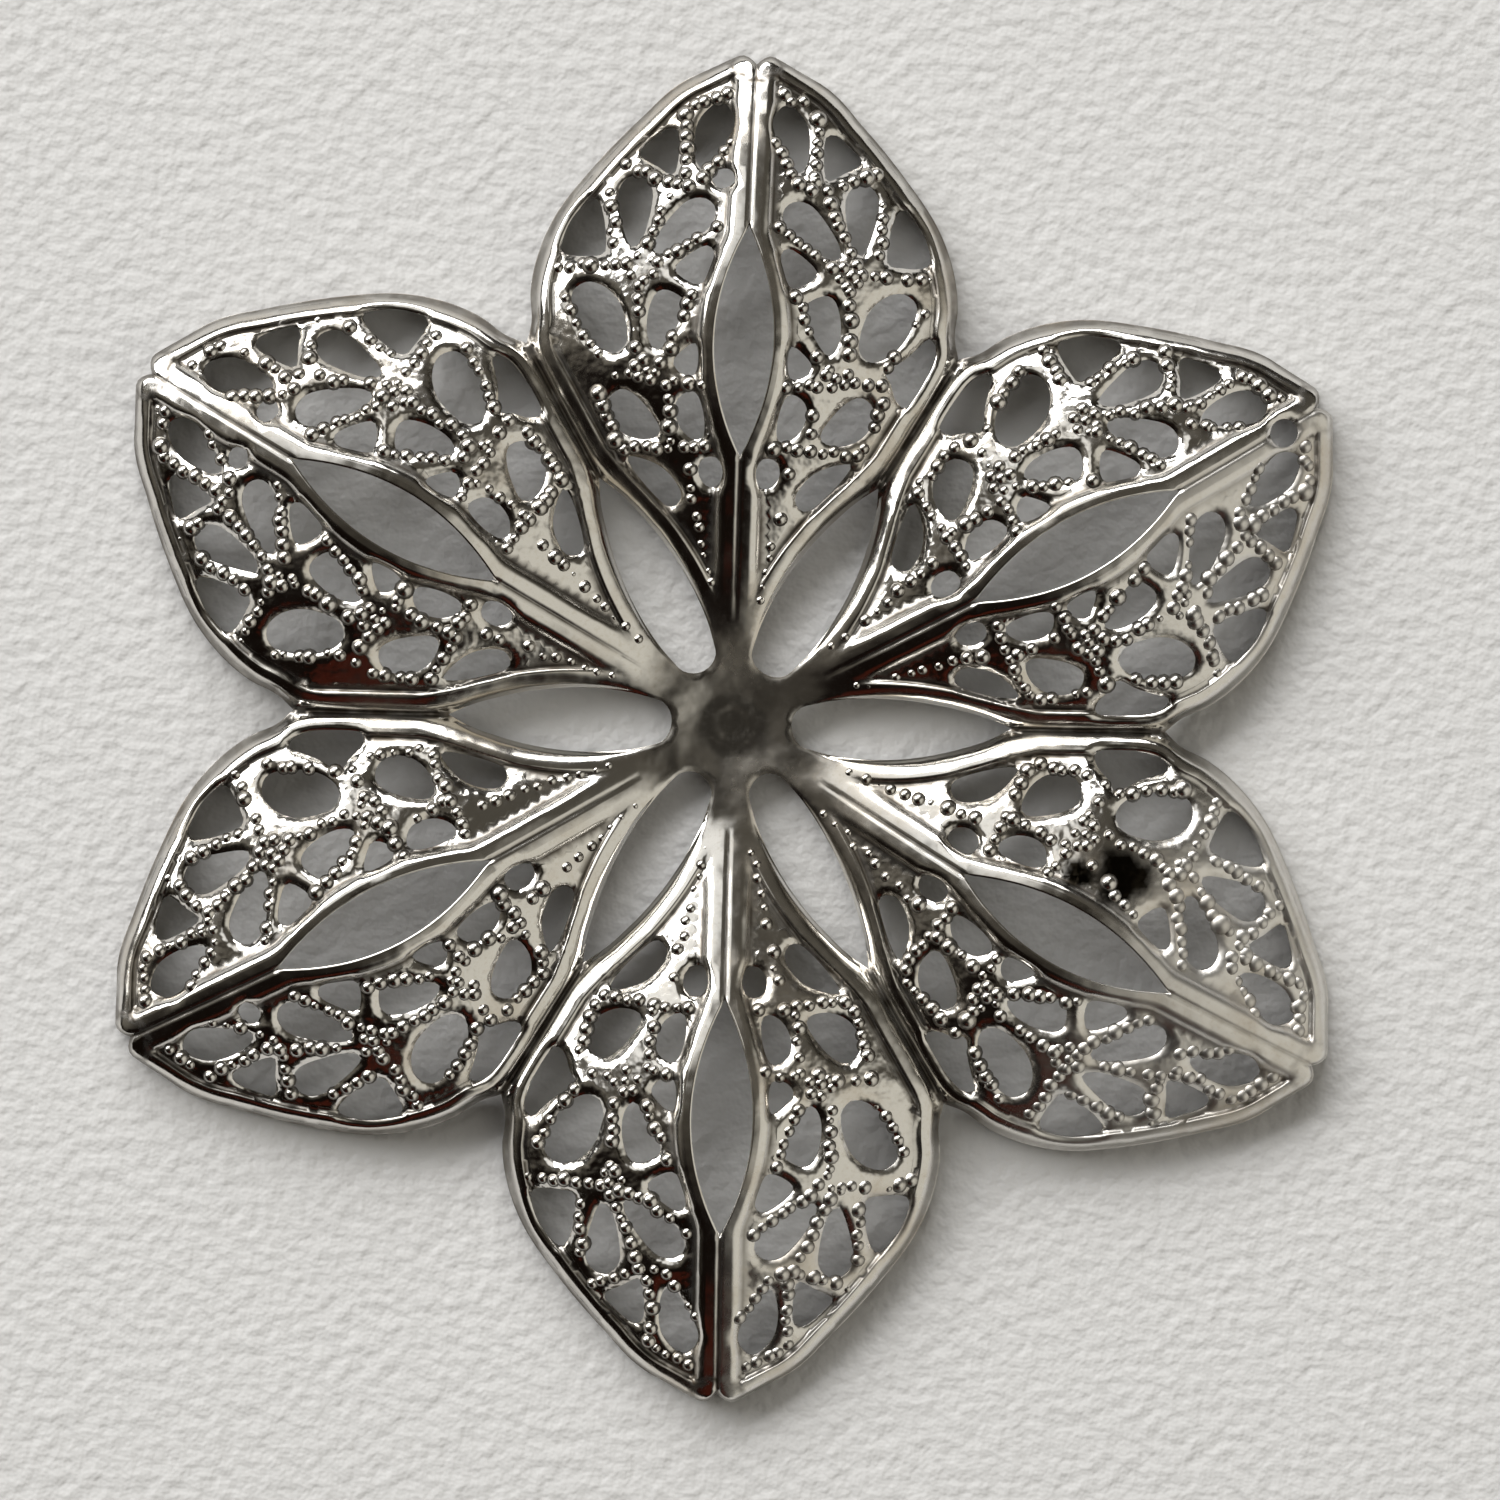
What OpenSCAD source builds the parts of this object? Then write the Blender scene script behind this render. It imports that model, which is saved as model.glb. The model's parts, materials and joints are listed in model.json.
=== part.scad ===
// Openwork flower stamping: six arched petals round a flat hub, pressed and pierced from one thin sheet.

/* [Flower] */
// Distance from the hub centre to the petal tips
tip_radius = 30.1; // [25:0.1:40]
// Height from the resting plane to the highest ridge
flower_height = 4.6; // [3.5:0.1:7]
// Thickness of the pressed sheet
sheet = 0.5; // [0.4:0.05:0.7]

/* [Hub] */
// Radius of the flat hub
hub_radius = 3.6; // [3.4:0.1:3.8]
// Height of the hub's upper face above the resting plane
hub_top = 1.1; // [0.9:0.05:1.4]
// Radius of the shallow dimple in the middle of the hub
dimple_radius = 0.6; // [0.4:0.05:1]
// Depth of that dimple
dimple_depth = 0.15; // [0.05:0.05:0.25]
// Radius of the round inner end of each slot between petals
slot_end_radius = 1.05; // [0.9:0.05:1.15]
// Distance from the hub centre to the middle of that round end
slot_end_reach = 3.7; // [3.6:0.05:4]

/* [Relief] */
// Height of the ridges over the petal's skin
ridge_height = 0.45; // [0.2:0.05:0.6]
// Half the width of the groove along the petal's midline
groove_half = 0.57; // [0.4:0.01:0.7]
// Distance from a ridge's crest to its foot
ridge_foot = 0.4; // [0.3:0.05:0.5]
// Distance from the petal's edge to the crest of the margin ridge
margin_crest = 0.45; // [0.35:0.05:0.6]
// Half the width of the pointed opening in each petal
eye_half = 1.33; // [1:0.01:1.6]

/* [Ring hole] */
// Radius of the round hole near one petal's tip
ring_hole_radius = 0.65; // [0.5:0.05:0.7]
// Distance of that hole from the hub centre
ring_hole_reach = 27.9; // [27.6:0.1:28]

/* [Hidden] */
petals = 6;
pitch = 360 / petals;
half_pitch = pitch / 2;
// The tables below are charted for petals of this length.
charted_reach = 30.1;
size = tip_radius / charted_reach;
hole_points = 8;
ring_petal = 5;
// The bottom of the opening and its top, measured from the hub along the petal.
eye_foot = 12.1;
eye_tip = 22.5;
// How each petal strays from its even place; the first one points along +Y. Columns: turn anticlockwise
// in degrees, reach as a share of the tip radius, sideways bow of the midline in mm.
petal_shape = [
    [-0.6, 0.98, -0.1],
    [0.5, 1.008, 0.1],
    [-0.9, 1.013, -0.35],
    [0.3, 1.004, 0.05],
    [1, 1.006, 0.5],
    [-0.1, 0.99, 0.3]
];
// The place along the petal of each cross row of the sheet's skin.
rows = [2.2, 3.7, 4.6, 6, 8, 10.8, 12.1, 13.6, 15.2, 16.7, 18.4, 20.6, 22.5, 24.6, 26.8, 28.8, 30.1];
// The first and the last of these rows on which neighbouring petals are joined.
seam_first = 5;
seam_last = 9;
tip_notch = 0.25;
bow_start = 3;
// Ridges, as shares of the ridge height: the opening's rim, the midline's groove, the margin ridge, the edge.
rim_rise = 0.4;
groove_drop = 0.1;
margin_rise = 0.9;
edge_drop = 0.3;
// From the opening's rim to the crest of the ridge round it.
rim_to_crest = 0.3;
// Where half a petal is too narrow for the ridges' own places, they stand at these shares of its width:
// inner crest, inner foot, outer foot, margin crest.
narrow_places = [0.35, 0.58, 0.72, 0.86];
// Half the petal's width. Columns: distance from the hub, half width.
margin = [
    [2.2, 0.9],
    [3.2, 0.85],
    [4.5, 1.2],
    [6, 1.9],
    [7.7, 3],
    [9.2, 4.3],
    [10.3, 5.5],
    [10.8, 6.24],
    [16.7, 9.64],
    [17.6, 9.45],
    [19, 9.4],
    [20.7, 9.1],
    [22.6, 8.4],
    [24.8, 7],
    [27.1, 5],
    [29, 3],
    [30.1, 0.9]
];
// The skin's height. Columns: distance from the hub, height on the midline, height at the margin.
arch = [
    [2.2, 0.92, 0.92],
    [3.7, 1.02, 1.02],
    [4.2, 1.13, 1.08],
    [6, 1.45, 1.1],
    [9, 2.4, 1.3],
    [12, 3.3, 1.5],
    [15, 3.95, 1.55],
    [18, 4.15, 1.5],
    [21, 3.95, 1.05],
    [24, 3.35, 0.85],
    [27, 2.4, 0.75],
    [30.1, 1.1, 0.7]
];
// The height of the sheet's turned-down lower edge. Columns: distance from the hub, height.
lower_edge = [
    [2.2, 0.7],
    [3.7, 0.68],
    [4.2, 0.58],
    [6, 0.55],
    [10.8, 0.85],
    [15.2, 0.85],
    [18.4, 0.05],
    [20, 0],
    [31, 0]
];
// The pierced holes of half a petal. Columns: distance from the midline, distance from the hub, length,
// half width on the midline side, half width on the margin side, lean of the top end, widening to the top.
holes = [
    [1.75, 26.5, 3.3, 0.8, 0.8, -14, 0.35],
    [5.05, 22.95, 3.3, 0.75, 0.8, 2, 0.35],
    [2.9, 22.25, 3.5, 0.72, 0.72, -47, 0.3],
    [7.1, 21.95, 2.7, 0.95, 0.85, -12, -0.7],
    [6.45, 18.05, 3.4, 1.1, 1.1, 27, 0.1],
    [3.5, 18.05, 2.85, 0.75, 0.75, -12, 0.15],
    [4.7, 13.75, 2.85, 0.9, 0.9, 48, 0.1],
    [3.6, 10.75, 3, 0.65, 0.5, 50, -0.35],
    [7.75, 15.95, 3.3, 0.95, 0.6, 20, 0.1]
];
// The holes that the press left out. Columns: petal, side (1 clockwise, -1 anticlockwise), row of holes.
unpierced = [
    [0, -1, 8],
    [1, -1, 8],
    [3, -1, 8]
];

function along(table, column, x) = lookup(x, [for (row = table) [row[0], row[column]]]);

// Half the width of the pointed opening at a distance from the hub.
function eye(y) =
    let (t = (2 * y - eye_foot - eye_tip) / (eye_tip - eye_foot))
    abs(t) < 1 ? eye_half * (1 - t * t) : 0;

// The direction of a petal's midline, and of the seam on its clockwise side.
function midline(k) = 90 + pitch * k + petal_shape[k][0];
function seam(k) = 90 + pitch * k - half_pitch + seam_mean(k, 0);
function seam_mean(k, column) =
    (petal_shape[k][column] + petal_shape[(k + petals - 1) % petals][column]) / 2;

// The angle from a petal's midline to the seam on one of its sides.
function half_angle(k, side) =
    side > 0
        ? midline(k) - seam(k)
        : seam((k + 1) % petals) + (k + 1 == petals ? 360 : 0) - midline(k);

// A place of half a petal, in the flower's own plane.
function place(k, side, x, y) =
    let (share = atan2(x, y) / half_pitch, r = norm([x, y]))
    let (on_seam = seam_mean(side > 0 ? k : (k + 1) % petals, 1))
    let (reach = petal_shape[k][1] + (on_seam - petal_shape[k][1]) * share)
    let (bow = petal_shape[k][2] * sin(180 * min(1, r / charted_reach)) / max(bow_start, r) * 180 / PI)
    let (turn = midline(k) - side * share * half_angle(k, side) - bow * (1 - share * share))
    size * reach * r * [cos(turn), sin(turn)];

// The same for a point of the seam, worked out alike for the two petals that meet there.
function seam_place(k, side, y) =
    let (after = side > 0 ? k : (k + 1) % petals)
    size * seam_mean(after, 1) * y / cos(half_pitch) * [cos(seam(after)), sin(seam(after))];

function skin(x, y, half) =
    let (edge = along(arch, 2, y), rise = along(arch, 1, y) - edge)
    edge + rise * (1 - pow(x / half, 2));

// Across half a petal: groove or opening, crest, foot, panel, foot, margin crest, edge.
function columns(y) =
    let (half = along(margin, 1, y), inner = eye(y), ridge = max(groove_half, inner + rim_to_crest))
    let (crest = min(ridge, narrow_places[0] * half), foot = min(ridge + ridge_foot, narrow_places[1] * half))
    let (outer_crest = max(half - margin_crest, narrow_places[3] * half))
    let (outer_foot = max(half - margin_crest - 1.25 * ridge_foot, narrow_places[2] * half))
    [inner, crest, foot, (foot + outer_foot) / 2, outer_foot, outer_crest, half];

// The ridges fade out where the petal narrows to its neck.
function relief(y) = ridge_height * lookup(y, [[4.6, 0], [6, 0.6], [8, 1]]);

function upper_heights(y) =
    let (rise = [eye(y) > 0 ? rim_rise : -groove_drop, 1, 0, 0, -groove_drop, margin_rise, -edge_drop])
    let (c = columns(y), half = c[upper_count - 1])
    [for (i = [0 : upper_count - 1]) skin(c[i], y, half) + rise[i] * relief(y)];

// The sheet thins where the neck runs into the hub, so that it stays inside the hub's own thickness.
function thickness(y) = sheet * lookup(y, [[2.2, 0.4], [3.7, 0.7], [4.2, 1]]);

// The underside has a point under each of these upper ones, and is turned down at the petal's edge.
lower_columns = [0, 2, 3, 4, 6];
function lower_heights(y) =
    let (c = columns(y), half = c[upper_count - 1])
    [
        for (i = lower_columns)
            i == upper_count - 1 ? along(lower_edge, 1, y) : skin(c[i], y, half) - thickness(y)
    ];

// The midline ends a little short of the petal's two tip corners.
function skin_point(k, side, row, column, z) =
    let (y = rows[row], ahead = row == last_row && column == 0 ? y - tip_notch : y)
    let (on_seam = column == upper_count - 1 && is_joined(row))
    let (p = on_seam ? seam_place(k, side, y) : place(k, side, columns(y)[column], ahead))
    [p[0], p[1], z];

upper_count = 7;
lower_count = 5;
row_size = upper_count + lower_count;
last_row = len(rows) - 1;

function half_points(k, side) = [
    for (row = [0 : last_row])
        let (high = upper_heights(rows[row]), low = lower_heights(rows[row]))
        each concat(
            [for (c = [0 : upper_count - 1]) skin_point(k, side, row, c, high[c])],
            [for (c = [0 : lower_count - 1]) skin_point(k, side, row, lower_columns[c], low[c])]
        )
];

function up(row, c) = row * row_size + c;
function low(row, c) = row * row_size + upper_count + c;

// The two triangles of a four-sided cell.
function cell(a, b, c, d) = [[a, b, c], [a, c, d]];

// The strip that closes the sheet at a row, from the seven upper points to the five lower ones.
function end_strip(row) = concat(
    [for (m = [0, 3]) each [
        [up(row, m == 0 ? 0 : 4), up(row, m == 0 ? 1 : 5), low(row, m)],
        [up(row, m == 0 ? 1 : 5), low(row, m + 1), low(row, m)],
        [up(row, m == 0 ? 1 : 5), up(row, m == 0 ? 2 : 6), low(row, m + 1)]
    ]],
    [for (m = [1, 2]) each [
        [up(row, m + 1), up(row, m + 2), low(row, m + 1)],
        [up(row, m + 1), low(row, m + 1), low(row, m)]
    ]]
);

function flip(faces) = [for (f = faces) [f[2], f[1], f[0]]];

function is_closed(row) = eye(rows[row]) < 0.01;
function is_joined(row) = row >= seam_first && row <= seam_last;

// The faces of half a petal. There is no wall where its other half or the next petal carries on.
half_faces = concat(
    [for (r = [0 : last_row - 1], c = [0 : upper_count - 2])
        each cell(up(r, c), up(r + 1, c), up(r + 1, c + 1), up(r, c + 1))],
    [for (r = [0 : last_row - 1], c = [0 : lower_count - 2])
        each cell(low(r, c), low(r, c + 1), low(r + 1, c + 1), low(r + 1, c))],
    [for (r = [0 : last_row - 1]) if (!(is_closed(r) && is_closed(r + 1)))
        each cell(up(r, 0), low(r, 0), low(r + 1, 0), up(r + 1, 0))],
    [for (r = [0 : last_row - 1]) if (!(is_joined(r) && is_joined(r + 1)))
        each cell(up(r, upper_count - 1), up(r + 1, upper_count - 1),
            low(r + 1, lower_count - 1), low(r, lower_count - 1))],
    end_strip(0),
    flip(end_strip(last_row))
);

half_size = len(rows) * row_size;
function half_start(k, side) = (2 * k + (side > 0 ? 0 : 1)) * half_size;

// The number, in the whole sheet's list, of point p of half a petal. An anticlockwise half takes the points
// of its closed midline from the clockwise half, and those of its seam from the next petal.
function shared_point(k, side, p) =
    let (row = floor(p / row_size), c = p % row_size)
    let (at_midline = c == 0 || c == upper_count, at_seam = c == upper_count - 1 || c == row_size - 1)
    side < 0 && at_midline && is_closed(row) ? half_start(k, 1) + p
        : side < 0 && at_seam && is_joined(row) ? half_start((k + 1) % petals, 1) + p
        : half_start(k, side) + p;

sheet_points = [for (k = [0 : petals - 1], side = [1, -1]) each half_points(k, side)];
function middle(axis) =
    let (places = [for (p = sheet_points) p[axis]])
    (min(places) + max(places)) / 2;

// The six petals as one sheet, before piercing.
module petal_sheet() {
    faces = [
        for (k = [0 : petals - 1], side = [1, -1], f = side > 0 ? half_faces : flip(half_faces))
            [for (p = f) shared_point(k, side, p)]
    ];
    polyhedron(sheet_points, faces, convexity = 10);
}

module slot_ends() {
    for (k = [0 : petals - 1])
        translate(size * slot_end_reach * [cos(seam(k)), sin(seam(k)), 0])
            cylinder(h = 3 * hub_top, r = size * slot_end_radius, center = true, $fn = 16);
}

// The skin's charted heights are stretched to the flower's full height at the end. The hub is drawn that
// much flatter first, so that its own heights come out true.
charted_height = max([for (y = rows) max(upper_heights(y))]);
stretch = flower_height / charted_height;

module hub() {
    scale([1, 1, 1 / stretch])
        difference() {
            translate([0, 0, hub_top - sheet])
                cylinder(h = sheet, r = size * hub_radius, $fn = 36);
            slot_ends();
            translate([0, 0, hub_top - dimple_depth])
                cylinder(h = sheet, r1 = dimple_radius / 2, r2 = dimple_radius * 2, $fn = 16);
        }
}

// The rim of one pierced hole: an egg shape, wider to one end and fuller on one side.
function hole_rim(k, side, hole) = [
    for (i = [0 : hole_points - 1])
        let (a = 360 * i / hole_points)
        let (across = sin(a) * (sin(a) < 0 ? hole[3] : hole[4]) * (1 + hole[6] * cos(a)))
        let (ahead = hole[2] / 2 * cos(a))
        place(k, side,
            hole[0] + across * cos(hole[5]) + ahead * sin(hole[5]),
            hole[1] - across * sin(hole[5]) + ahead * cos(hole[5]))
];

function is_pierced(k, side, h) = len([for (u = unpierced) if (u == [k, side, h]) u]) == 0;

module piercings() {
    for (k = [0 : petals - 1], side = [-1, 1], h = [0 : len(holes) - 1])
        if (is_pierced(k, side, h))
            polygon(hole_rim(k, side, holes[h]));
}

module pierced_sheet() {
    difference() {
        union() {
            petal_sheet();
            hub();
        }
        linear_extrude(height = 3 * charted_height, center = true)
            piercings();
    }
}

// The flower stands with the middle of its outline over the origin.
module flower() {
    ring_hole = place(ring_petal, 1, 0.2, ring_hole_reach);
    color([0.78, 0.77, 0.74])
        translate([-middle(0), -middle(1), 0])
            difference() {
                resize([0, 0, flower_height])
                    pierced_sheet();
                translate([ring_hole[0], ring_hole[1], 0])
                    cylinder(h = 3 * flower_height, r = ring_hole_radius, center = true, $fn = 32);
            }
}

flower();
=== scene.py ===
"""The looks of an openwork flower stamping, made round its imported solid.

The pierced sheet is drawn once for half a petal, in its own plane: x is the distance from the petal's
midline and y the distance from the hub, in millimetres. place() lays that drawing into each of the
flower's twelve halves.
"""

import json
import math

import bpy
import numpy as np
from mathutils import Matrix, Vector
from mathutils.geometry import delaunay_2d_cdt

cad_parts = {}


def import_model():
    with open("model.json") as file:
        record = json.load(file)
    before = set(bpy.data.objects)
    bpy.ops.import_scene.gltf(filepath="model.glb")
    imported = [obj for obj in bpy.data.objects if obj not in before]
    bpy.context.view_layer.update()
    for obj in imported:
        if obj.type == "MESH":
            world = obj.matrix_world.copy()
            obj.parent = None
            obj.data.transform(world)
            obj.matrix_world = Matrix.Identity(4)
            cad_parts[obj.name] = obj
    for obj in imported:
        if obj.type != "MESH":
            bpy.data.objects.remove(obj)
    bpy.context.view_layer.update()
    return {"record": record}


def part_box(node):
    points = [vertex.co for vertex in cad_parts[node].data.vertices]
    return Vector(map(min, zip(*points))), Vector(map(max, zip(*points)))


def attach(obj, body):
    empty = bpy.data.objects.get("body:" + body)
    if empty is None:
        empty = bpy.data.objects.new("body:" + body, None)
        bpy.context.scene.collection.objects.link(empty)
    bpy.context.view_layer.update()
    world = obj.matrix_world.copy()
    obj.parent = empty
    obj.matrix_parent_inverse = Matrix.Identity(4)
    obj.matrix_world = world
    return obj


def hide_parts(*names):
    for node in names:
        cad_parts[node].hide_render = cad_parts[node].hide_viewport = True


MM = 0.001
PETALS = 6
PITCH = 60.0
HALF_PITCH = 30.0
TAN_HALF = math.tan(math.radians(HALF_PITCH))
CHARTED_REACH = 30.1

# How each petal strays from its even place; the first one points along +Y. Columns: turn anticlockwise in
# degrees, reach as a share of the tip radius, sideways bow of the midline in mm.
PETAL_SHAPE = [
    (-0.6, 0.98, -0.1),
    (0.5, 1.008, 0.1),
    (-0.9, 1.013, -0.35),
    (0.3, 1.004, 0.05),
    (1.0, 1.006, 0.5),
    (-0.1, 0.99, 0.3),
]
BOW_START = 3.0

# How far the outer part of some half petals has been rubbed satin, and between which distances from the hub
# that sets in. The keys are (petal, side), with side 1 clockwise and -1 anticlockwise.
RUBBED = {(3, -1): 0.5, (4, 1): 0.9, (4, -1): 1, (5, 1): 0.75}
RUBBED_FROM = (16.5, 22)
# What full rubbing takes away, as shares: the sheet's grime with its painted shade, and its unevenness;
# the granules' painted shade and their height.
GRIME_AND_SHADE_RUBBED = 0.8
UNEVENNESS_RUBBED = 0.5
GRANULE_GRIME_AND_SHADE_RUBBED = 0.5
GRANULE_RUBBED = 0.45
# Dark stains on the upper face. Columns: petal, side, x and y of the middle, radius.
STAINS = [
    (4, -1, 3.45, 18.15, 1.45),
    (4, -1, 2.6, 16.35, 0.8),
]
STAIN_CORE = 0.65

# The pointed opening on each petal's midline.
EYE_FOOT = 12.1
EYE_TIP = 22.5
EYE_HALF = 1.33

# Neighbouring petals are joined along the seam between these distances from the hub.
SEAM_START = 10.8
SEAM_END = 16.7

# Half the petal's width along a slot, then along its free margin. Columns: distance from the hub, half width.
SLOT_EDGE = [
    (3.2, 0.8),
    (4.5, 1.2),
    (6, 1.9),
    (7.7, 3),
    (9.2, 4.3),
    (10.3, 5.5),
    (SEAM_START, SEAM_START * TAN_HALF),
]
FREE_MARGIN = [
    (SEAM_END, SEAM_END * TAN_HALF),
    (17.6, 9.45),
    (19, 9.55),
    (20.7, 9.3),
    (22.6, 8.55),
    (24.8, 7),
    (27.1, 5),
    (29, 3),
    (30.1, 0.9),
]
TIP_CORNER = [(0, 29.8), (0.28, 30.07), (0.65, 30.2), (1.05, 30.04), (1.9, 29.58)]
# The round inner end of a slot.
SLOT_END_RADIUS = 1.05
SLOT_END_REACH = 3.7
# How far from the hub the slot's side runs on into that end, and the margin into the tip's corner.
SLOT_JOIN = 3.5
TIP_JOIN = 29

# The skin's height over the resting plane. Columns: distance from the hub, on the midline, at the margin.
ARCH = [
    (0, 1.0, 1.0),
    (4.2, 1.28, 1.2),
    (6, 1.58, 1.22),
    (9, 2.4, 1.3),
    (12, 3.3, 1.5),
    (15, 3.95, 1.55),
    (18, 4.15, 1.5),
    (21, 3.95, 1.05),
    (24, 3.35, 0.85),
    (27, 2.4, 0.75),
    (30.3, 1.05, 0.7),
]
# The height of the margin's turned-down lower edge. Columns: distance from the hub, height.
LOWER_EDGE = [(0, 0.7), (4.2, 0.58), (6, 0.55), (10.8, 0.85), (15.2, 0.85), (18.4, 0.05), (20, 0), (31, 0)]

# The pierced holes of half a petal, each a smooth closed line through these points.
HOLES = {
    "tip_drop": [(0.85, 27.1), (1.3, 27.95), (1.85, 27.85), (2.45, 27.1), (2.6, 26.1), (2.45, 25.2),
                 (2.05, 24.9), (1.5, 25.6)],
    "tip_triangle": [(3.25, 26.35), (3.7, 26.7), (4.5, 26.1), (5, 25.45), (4.2, 24.95), (3.4, 24.65)],
    "upper_drop": [(4.3, 23.6), (4.6, 24.3), (5.15, 24.5), (5.7, 24.1), (5.85, 23.4), (5.65, 22.4),
                   (5.3, 21.4), (4.95, 21.3), (4.55, 22)],
    "slanting_drop": [(1.5, 23.1), (1.95, 23.6), (2.7, 23.5), (3.4, 22.8), (4.05, 21.8), (4.2, 21.15),
                      (3.7, 21.05), (2.7, 21.6), (1.8, 22.25)],
    "margin_wedge": [(6.3, 21), (6.4, 22.4), (6.75, 23.3), (7.2, 23.2), (7.9, 22.3), (8.25, 21.2),
                     (8, 20.78), (7, 20.75)],
    "small_wedge": [(1.5, 21.2), (1.85, 21.5), (2.6, 21.05), (3.18, 20.4), (2.7, 19.9), (2, 19.75),
                    (1.65, 20.5)],
    "wide_drop": [(6.9, 19.6), (7.5, 19.35), (7.72, 18.8), (7.4, 17.8), (6.8, 16.95), (6.1, 16.5),
                  (5.5, 16.55), (5.15, 17.2), (5.45, 18.5), (6.1, 19.3)],
    "inner_drop": [(3.45, 19.4), (4, 19.2), (4.3, 18.3), (4.28, 17.3), (3.9, 16.7), (3.45, 17.05),
                   (2.85, 18.1), (2.65, 18.9)],
    "small_slip": [(2.15, 17.1), (2.7, 16.75), (3.1, 16.2), (2.75, 15.7), (2.15, 15.65), (2, 16.4)],
    "lower_drop": [(5.4, 14.85), (5.9, 14.4), (5.9, 13.7), (5.4, 13), (4.6, 12.65), (3.8, 12.75),
                   (3.6, 13.2), (4.2, 14.1), (4.85, 14.7)],
    "lower_slip": [(2.25, 14.95), (2.8, 14.6), (2.95, 14), (2.65, 13.2), (2.05, 12.75), (1.65, 12.95),
                   (1.65, 13.8), (1.9, 14.65)],
    "crescent": [(4.95, 11.85), (4.8, 11.35), (4, 10.4), (3.2, 9.7), (2.75, 9.75), (2.55, 10.3),
                 (3.1, 11.15), (3.9, 11.65)],
    "foot_dot": [(1.05, 12.0), (1.65, 11.9), (1.82, 11.25), (1.45, 10.7), (0.95, 10.72), (0.74, 11.4)],
    "seam_slice": [(8.3, 17.6), (8.62, 17.1), (8.4, 16.2), (7.85, 15.1), (7.35, 14.45), (6.9, 14.75),
                   (6.65, 15.5), (6.4, 16.05), (7.2, 16.6), (7.8, 17.15)],
    "top_slip": [(0.72, 24.4), (0.9, 24.95), (1.5, 24.95), (1.75, 24.5), (1.35, 24.1)],
}
# Where the press left a hole out: (petal, side), with side 1 clockwise and -1 anticlockwise.
UNPIERCED = {
    "seam_slice": [(0, -1), (1, -1), (3, -1)],
    "foot_dot": [(1, 1), (2, 1)],
    "top_slip": [(0, 1), (2, 1), (3, -1), (3, 1), (4, -1), (4, 1), (5, -1), (5, 1)],
    "inner_drop": [(4, -1)],
    "small_slip": [(4, -1)],
}
# The round hole for a ring, across one petal's midline.
RING_PETAL = 5
RING_ACROSS = 0.2
RING_REACH = 27.9
RING_RADIUS = 0.65

# The granules, in strings along the ribs. Columns: x and y of the first, x and y of the last.
GRANULE_STRINGS = [
    (1.2, 28.45, 2.6, 27.8),
    (2.95, 27.4, 2.9, 24.7),
    (3.6, 24.2, 5.6, 24.95),
    (6.05, 23.6, 6.0, 21.3),
    (3.6, 23.5, 4.5, 21.4),
    (0.95, 26.2, 2.2, 24.4),
    (1.4, 22.4, 3.9, 20.6),
    (5.2, 20.4, 8.3, 20.2),
    (4.75, 19.5, 4.7, 16.8),
    (8.0, 18.7, 6.4, 16.3),
    (2.3, 19.3, 3.3, 16.8),
    (5.0, 15.6, 6.3, 15.5),
    (3.3, 15.2, 3.1, 12.7),
    (6.3, 14.6, 5.6, 12.6),
    (1.5, 12.5, 5.2, 12.2),
    (1.9, 15.3, 3.0, 15.4),
]
# The last string thins out towards the hub, by this share: the same columns, and how many granules it has.
NECK_STRING = (2.3, 11.3, 1.05, 5.6, 10)
NECK_THINNING = 0.35
# The middles of the rings of six granules round a seventh, and of the groups of three.
ROSETTES = [(4.7, 20.3), (4.2, 15.8)]
ROSETTE_RADIUS = 0.52
GRANULE_TRIOS = [(3.0, 24.3)]
TRIO_RADIUS = 0.32
GRANULE_RADIUS = 0.33
GRANULE_GAP = 0.56
# How far the granules stray from their places, in mm, and how much their sizes differ, as a share.
GRANULE_STRAY = 0.06
GRANULE_UNLIKE = 0.15
# How deep the granules' middles lie in the sheet, from and to, and how many in a hundred were never struck.
GRANULE_SUNK = (0.08, 0.2)
GRANULES_MISSING = 7

# How fine the sheet's mesh is, in mm: along rims and ridges, and between them.
RIM_STEP = 0.24
FILL_STEP = 0.3
FILL_ACROSS = (0.15, 9.8)
FILL_ALONG = (0.2, 30)
CLEARANCE = 0.085
# How far the straight edges are bowed out while the mesh is made, so that no sliver falls outside them.
BOW = 0.02

SHEET = 0.4
# Over how far to each side the arch smooths away the corners of the petal's outline, and its least width.
ARCH_SPREAD = 1.8
LEAST_WIDTH = 0.6
RIDGE_HEIGHT = 0.33
# Half the width of the ridges beside the midline, and the place of their crests.
RIDGE_HALF = 0.53
MIDLINE_CREST = 0.5
# How steeply the ridge beside the midline falls off into the groove between the two.
GROOVE_SIDE = 12.0
# How flat-topped the ridges are: the one round the petal, and the outer side of the one beside the midline.
EDGE_FLATNESS = 4.2
INNER_FLATNESS = 2.2
EYE_TO_CREST = 0.3
# How roundly the crest's line turns out round the opening, and the most of the neck's half width it may take.
CREST_BLEND = 0.02
CREST_IN_NECK = 0.42
# How round the ridges turn where two meet: the less, the rounder.
RIDGE_TURN = 9.0
# How smoothly the ridge round the petal runs from the margin into the seam and on into the slot's edge.
EDGE_BLEND = 3.5
# The ridge round the petal. Columns: distance from the hub, distance from the edge to the crest, how wide
# and how deep the flange outside it is turned down, half the ridge's width.
EDGE_TURN = [
    (3, 0.38, 0.2, 0.14, 0.38),
    (8, 0.46, 0.2, 0.14, 0.45),
    (15, 0.48, 0.2, 0.14, 0.46),
    (17, 0.52, 0.24, 0.2, 0.4),
    (19, 0.6, 0.32, 0.26, 0.35),
    (25, 0.47, 0.22, 0.24, 0.34),
    (30, 0.4, 0.16, 0.2, 0.34),
]
# The webs between the holes are rounded off towards each rim.
WEB_CROWN = 0.19
WEB_HALF = 0.45
WEB_BLEND = 9.0
HUB_TOP = 1.1
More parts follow.
